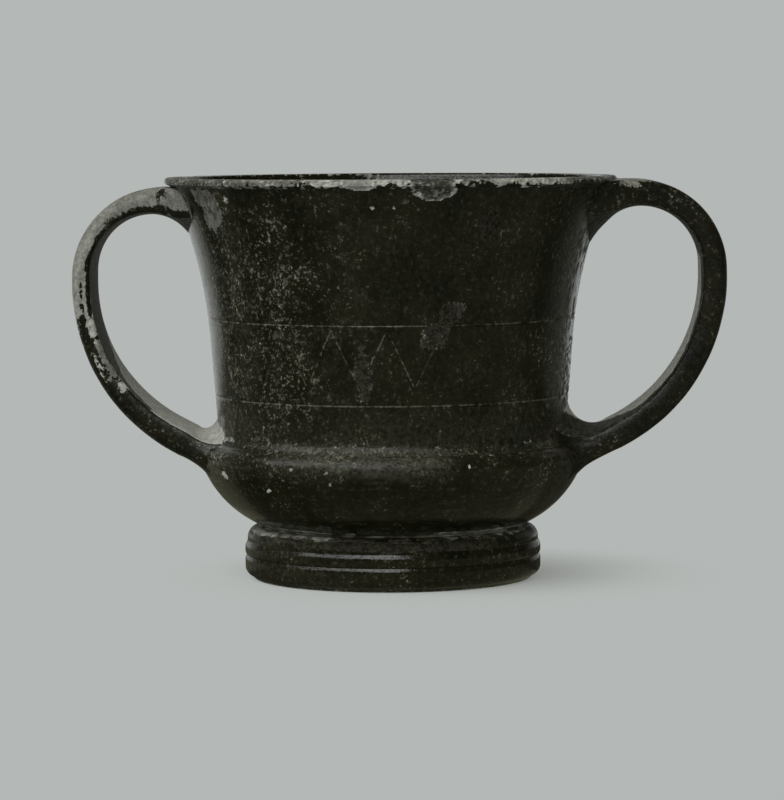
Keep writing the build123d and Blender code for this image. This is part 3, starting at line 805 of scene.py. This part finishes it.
def shape_handle(sizes):
    """Points (station, ring, xyz) of a handle on the +X side, the face of each, and where its pieces part."""
    (outer, inner), parts, bend_low = strap_lines(**sizes)
    bend_x, last = (sizes["level_x"] + sizes["reach"]) / 2, len(outer) - 1
    root_arc = widening(bend_x - ROOT_X, ROOT_HALF - STRAP_HALF)
    foot_arc = widening(bend_low - ledge[1], STRAP_FOOT_HALF - STRAP_HALF)
    grid, faces = [], []
    for k, (out, within) in enumerate(zip(outer, inner)):
        middle, depth = (out + within) / 2, np.hypot(*(out - within)) / 2
        normal = (out - within) / (2 * depth)
        half = STRAP_HALF
        if middle[1] > bend_low and middle[0] < bend_x:
            half += root_arc - math.sqrt(root_arc ** 2 - min(bend_x - middle[0], bend_x - ROOT_X) ** 2)
        elif middle[1] < bend_low:
            half += foot_arc - math.sqrt(foot_arc ** 2 - (bend_low - middle[1]) ** 2)
        across, outward = section(half, depth).T
        side, face = across / half, outward / depth

        # The strap is a little hollow on its inside, and its two roots spread onto the body
        root = max(0, 1 - k / parts[0])
        foot = max(0, (k - parts[1]) / (last - parts[1]))
        free = 1 - max(root, foot)
        outward = np.where(face < 0, outward * (1 - free * STRAP_HOLLOW / depth * side ** 2), outward)
        across = across * (1 - free * FACE_TAPER * face ** 2) * (1 + FOOT_SPREAD * foot ** 2)
        x, z = middle[0] + normal[0] * outward, middle[1] + normal[1] * outward
        inner_share = (1 - face) / 2
        if root > 0:
            under = sizes["top"] - STRAP_DEPTH
            z = z + inner_share * (under - within[1]) * np.minimum(1, (across / ROOT_HALF) ** 2)
        z = z - (FOOT_SAG * foot * inner_share + FOOT_OUTER_SAG * foot ** 2 * (1 - inner_share)) * side ** 2
        grid.append(np.c_[x, across, z])
        faces.append(face)
    grid = np.array(grid)

    # Both ends are seated on the round body, sunk a little into it
    for end, line in ((0, parts[0]), (last, parts[1])):
        x, y, z = grid[end].T
        seat = np.sqrt(np.maximum((body_radius(z) - SUNK) ** 2 - y ** 2, 1))
        for k in range(min(end, line), max(end, line) + 1):
            grid[k, :, 0] += (k - line) / (end - line) * (seat - x)
    return grid, np.array(faces), parts


def strap_piece(name, grid):
    """Closed mesh of some stations of a handle, with a sharp edge round its two ends."""
    stations, around = grid.shape[:2]
    points = list(grid.reshape(-1, 3))
    faces = []
    for k in range(stations - 1):
        for j in range(around):
            step = (j + 1) % around
            faces.append((k * around + j, k * around + step, (k + 1) * around + step, (k + 1) * around + j))
    for k in (0, stations - 1):
        points.append(grid[k].mean(axis=0))
        faces += [(k * around + j, k * around + (j + 1) % around, len(points) - 1) for j in range(around)]
    piece = new_piece(name, points, (), faces)
    piece.data.shade_smooth()
    shape = bmesh.new()
    shape.from_mesh(piece.data)
    bmesh.ops.recalc_face_normals(shape, faces=shape.faces)
    for cap in list(shape.verts)[-2:]:
        for face in cap.link_faces:
            for edge in face.edges:
                edge.smooth = cap in edge.verts
    shape.to_mesh(piece.data)
    shape.free()
    return piece


INSIDE_FACE, INSIDE_WORN = -0.92, 0.6


def soft_spot(x, z, at_x, at_z, wide, high):
    """A spot seen from the front: 1 in its middle, fading to 0 around it."""
    return np.exp(-((x - at_x) / wide) ** 2 - ((z - at_z) / high) ** 2)


def left_wear_and_highlight(x, y, z, face, coarse, fine):
    """The left handle: its slip is gone from the outer half down to mid height, then comes off in flakes. The
    pale of that outer half is also a painted highlight.
    """
    down = graded(z, {47: -0.6, 56: -0.22, 70: 0.02, 79: 0.6})
    inwards = graded(face, {-0.9: -0.8, -0.5: -0.1, -0.1: 0.35, 1.0: 0.6})
    dark_left = 0.75 * soft_spot(x, z, -59.6, 103.0, 2.4, 2.4)
    streak = np.exp(-((x + 81.3 + 0.06 * (z - 74)) / 0.6) ** 2 - ((z - 74.0) / 4.5) ** 4)
    crust = soft_spot(x, z, -48.5, 40.5, 3.5, 3.0)
    worn = np.minimum(down, inwards) + 0.34 * coarse + 0.2 * fine - dark_left
    worn = worn - streak * np.clip(0.25 + 2.4 * fine, 0, 1) + crust
    # The pale outer half: worn slip and a painted highlight
    pale = graded(z, {56: 0.6, 74: 0.49, 92: 0.44, 100: 0.31}) * (1 + 0.35 * coarse + 0.2 * fine)

    # Flakes down the side: place, slant, length along the strap, width and paleness of each
    for at_x, at_z, slant, length, width, paleness in [
        (-78.4, 67.2, 76.0, 4.2, 1.5, 0.8), (-76.0, 61.0, 72.0, 5.0, 1.2, 0.28),
        (-73.6, 56.0, 66.0, 3.4, 1.3, 0.25), (-70.6, 51.4, 60.0, 1.7, 1.2, 0.8),
    ]:
        c, s = math.cos(math.radians(slant)), math.sin(math.radians(slant))
        along = ((x - at_x) * c - (z - at_z) * s) / length
        over = ((x - at_x) * s + (z - at_z) * c) / width
        flake = 0.35 * (0.8 - np.hypot(along, over)) + 0.1 * coarse + 0.25 * fine
        flake = np.where(np.abs(face) < 0.98, flake, -1)
        pale = np.where(flake > worn, paleness * (1 + 0.3 * fine), pale)
        worn = np.maximum(worn, flake)

    # The inside has lost its gloss and stays dark, but for the far side of its lower run, rubbed pale and
    # painted light as a highlight
    far = (y - graded(z, {39: -22, 44: -13, 54: -8, 64: 4, 80: 20})) / 3 + 0.6 * coarse
    inside = np.where(far > 0, 0.7, 0.1) + 0.08 * np.clip(fine, 0, 1)
    inner = face < INSIDE_FACE
    return np.where(inner, INSIDE_WORN, worn), np.where(inner, inside, pale), 0.4


def right_wear_and_highlight(x, y, z, face, coarse, fine):
    """The right handle: still black, rubbed on top of its root and inside, with specks on its bend. The pale
    far side of its inside is also a painted highlight.
    """
    rubbed = 0.75 * soft_spot(x, z, 63.5, 105, 5, 2.5)
    dusted = 0.6 * soft_spot(x, z, 75, 101, 7, 5)
    worn, pale = rubbed - 0.55 + 0.3 * coarse + 0.25 * fine, 0.3 + 0.3 * fine
    # The far side of the inside: rubbed pale, and painted light as a highlight
    far = (y - graded(z, {40: 4, 45: -10, 60: -9, 85: -6, 92: 20})) / 3 + 0.6 * coarse
    inside = np.where(far > 0, 0.75, 0.02) + 0.08 * np.clip(fine, 0, 1)
    inner = face < INSIDE_FACE
    return np.where(inner, INSIDE_WORN, worn), np.where(inner, inside, pale), 0.15 + dusted


right_sizes = {
    "reach": 88.6, "top": 105.5, "thickness": 7.2, "level_x": 64.6, "under_x": 65.9,
    "stem_start": np.array([61.7, 35.65]), "root_fillet": 12.0,
}
left_sizes = {
    "reach": 84.1, "top": 104.0, "thickness": 5.6, "level_x": 60.1, "under_x": 63.0,
    "stem_start": np.array([57.2, 34.15]), "root_fillet": 7.0,
}
hand_finish = {"marks_run": (0.6, 1.0, 0.6), "smoothest": 0.36}
handled_clay = burnished_clay("Burnished black clay, handled", **hand_finish)
# The left handle's clay: worn slip, its pale partly a painted highlight
worn_clay = burnished_clay("Burnished clay, worn", **hand_finish)
handles = {
    "right": (right_sizes, 1, right_wear_and_highlight, "black_clay", handled_clay),
    "left": (left_sizes, -1, left_wear_and_highlight, "worn_clay", worn_clay),
}
for side, (sizes, way, wear_and_highlight, slot, clay) in handles.items():
    grid, faces, parts = shape_handle(sizes)

    # Pressed by hand, so its thickness is a little uneven; the wear and the painted highlight are drawn out
    # along the strap
    middle = grid.mean(axis=1, keepdims=True)
    pressed = ragged(grid.reshape(-1, 3), HAND_GRAIN, 11 + way).reshape(*grid.shape[:2], 1)
    grid = middle + (grid - middle) * (HAND_SHRINK - HAND_UNEVEN * pressed)
    step = np.linalg.norm(np.diff(middle[:, 0], axis=0), axis=1)
    along = np.r_[0, np.cumsum(step)][:, None] + 0 * faces
    drawn = np.stack([along / 4, grid[:, :, 1], faces * 4], axis=2).reshape(-1, 3)
    coarse = ragged(drawn, 2.2, 21 + way).reshape(faces.shape)
    grid = grid * [way, way, 1]
    fine = ragged(grid.reshape(-1, 3), 1.4, 22).reshape(faces.shape)
    worn, pale, speckled = wear_and_highlight(*np.moveaxis(grid, 2, 0), faces, coarse, fine)
    fields = {"worn": worn, "pale": pale, "speckled": speckled + 0 * worn, "dusty": 0.04 + 0 * worn}
    spans = {"upper": (0, parts[0]), "": (parts[0], parts[1]), "lower": (parts[1], len(grid) - 1)}
    for part, (first, final) in spans.items():
        span, ends = slice(first, final + 1), [first, final]
        piece = strap_piece(f"{side}_{part}_clay" if part else f"{side}_handle", grid[span])
        paint(piece, **{name: np.r_[field[span].ravel(), field[ends, 0]] for name, field in fields.items()})
        piece.data.materials.append(clay)
        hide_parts(f"{side}_{part}_luting" if part else f"{side}_handle")
        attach(piece, "root")

# Floor
# A plain pale sheet of matt card that the cup stands on, with no edge in view. It lies a hair below
# the foot.
card_grey, lit_grey, mirrored_grey = "#b4b8b6", "#d0d4d2", "#b4b498"
FLOOR_HALF, FLOOR_LEVEL = 9000, -0.02
SHADOW_SHIFT, SHADOW_NEAR, SHADOW_FAR, SHADOW_LIT = 12, 20, 80, 0.4
MIRROR_NEAR, MIRROR_FAR, MIRROR_DIM, MIRROR_GAIN = 100, 500, 0.3, 1.3
corners = [(-1, -1), (1, -1), (1, 1), (-1, 1)]
sheet_points = [(x * FLOOR_HALF, y * FLOOR_HALF, FLOOR_LEVEL) for x, y in corners]
floor = new_piece("floor", sheet_points, (), [(0, 1, 2, 3)])
card = bpy.data.materials.new("Matt grey card")
tree = bare_tree(card)
place = add(tree, "ShaderNodeTexCoord").outputs["Object"]

# The card takes the cup's shadow near the foot and is plain further off
shift = (SHADOW_SHIFT * MM, 0.0, 0.0)
shaded = add(tree, "ShaderNodeVectorMath", {0: place, 1: shift}, operation="SUBTRACT")
away = add(tree, "ShaderNodeVectorMath", {0: shaded}, operation="LENGTH").outputs["Value"]
far = spread(
    tree, away, SHADOW_NEAR * MM, SHADOW_FAR * MM, SHADOW_LIT, 1.0, interpolation_type="SMOOTHSTEP",
)
lit = add(tree, "ShaderNodeBsdfDiffuse", {"Color": linear(lit_grey)})
plain = add(tree, "ShaderNodeEmission", {"Color": linear(card_grey)})
sheet = add(tree, "ShaderNodeMixShader", {0: far, 1: lit, 2: plain})

# In the gloss of the cup the card shows dim in front and brighter behind, less so to the right
axes = add(tree, "ShaderNodeSeparateXYZ", {0: place}).outputs
beyond = spread(tree, axes["Y"], MIRROR_NEAR * MM, MIRROR_FAR * MM)
aside = calc(tree, "DIVIDE", axes["X"], axes["Y"])
to_right = spread(tree, aside, 0.4, 0.95, 1.0, 0.3)
hue = tinted(tree, beyond, mirrored_grey, card_grey)
shown = calc(tree, "MULTIPLY_ADD", beyond, MIRROR_GAIN, MIRROR_DIM)
shown = times(tree, shown, to_right)
dim = add(tree, "ShaderNodeEmission", {"Color": hue, "Strength": shown})
mirrored = add(tree, "ShaderNodeLightPath").outputs["Is Glossy Ray"]
sheet = add(tree, "ShaderNodeMixShader", {0: mirrored, 1: sheet, 2: dim})
add(tree, "ShaderNodeOutputMaterial", {"Surface": sheet})
floor.data.materials.append(card)

# Light
# Soft daylight from a window at the upper left in front, in a dim room, with a pale backdrop behind the
# cup. Places and sizes of the window are in metres.
AMBIENT, AMBIENT_TINT = 0.9, "#b8b8a8"
BACKDROP_GLOSS, ROOM_GLOSS = 1.5, 0.05
WINDOW_WIDTH, WINDOW_HEIGHT, WINDOW_WATTS = 2.8, 0.8, 27.0
window_place, window_aim = Vector((-0.8, -1.0, 1.45)), Vector((0, 0, 0.05))
world = bpy.data.worlds.new("Pale backdrop")
tree = bare_tree(world)
path = add(tree, "ShaderNodeLightPath").outputs
direction = add(tree, "ShaderNodeTexCoord").outputs["Generated"]
facing = add(tree, "ShaderNodeSeparateXYZ", {0: direction}).outputs
behind = spread(tree, facing["Y"], 0.74, 0.85, ROOM_GLOSS, BACKDROP_GLOSS)
to_right = spread(tree, facing["X"], -0.1, 0.3, 1.0, 0.42)
behind = times(tree, behind, to_right)
mirrored = add(tree, "ShaderNodeMix", {0: path["Is Glossy Ray"], 2: AMBIENT, 3: behind})
strength = add(tree, "ShaderNodeMix", {0: path["Is Camera Ray"], 2: mirrored, 3: 1.0})
seen = calc(tree, "MAXIMUM", path["Is Camera Ray"], path["Is Glossy Ray"])
tint = tinted(tree, seen, AMBIENT_TINT, card_grey)
backdrop = add(tree, "ShaderNodeBackground", {"Color": tint, "Strength": strength})
add(tree, "ShaderNodeOutputWorld", {"Surface": backdrop})
bpy.context.scene.world = world

light = bpy.data.lights.new("window", "AREA")
light.shape = "RECTANGLE"
light.size, light.size_y, light.energy = WINDOW_WIDTH, WINDOW_HEIGHT, WINDOW_WATTS
window = bpy.data.objects.new("window", light)
window.location = window_place
window.rotation_euler = (window_aim - window_place).to_track_quat("-Z", "Y").to_euler()
bpy.context.scene.collection.objects.link(window)
bpy.context.scene.view_settings.view_transform = "Standard"

# Camera
# A long lens a metre away, a little above the rim and to the right, rolled a hair. Places are in metres.
LENS, SENSOR, ROLL = 169.5, 36.0, -0.35
eye, aim = Vector((0.0253, -0.9997, 0.122)), Vector((0, 0, 0.047))
camera = bpy.data.cameras.new("camera")
camera.lens, camera.sensor_width = LENS, SENSOR
viewer = bpy.data.objects.new("camera", camera)
viewer.location = eye
turned = (aim - eye).to_track_quat("-Z", "Y").to_matrix().to_4x4()
viewer.rotation_euler = (turned @ Matrix.Rotation(math.radians(ROLL), 4, "Z")).to_euler()
bpy.context.scene.collection.objects.link(viewer)
bpy.context.scene.camera = viewer
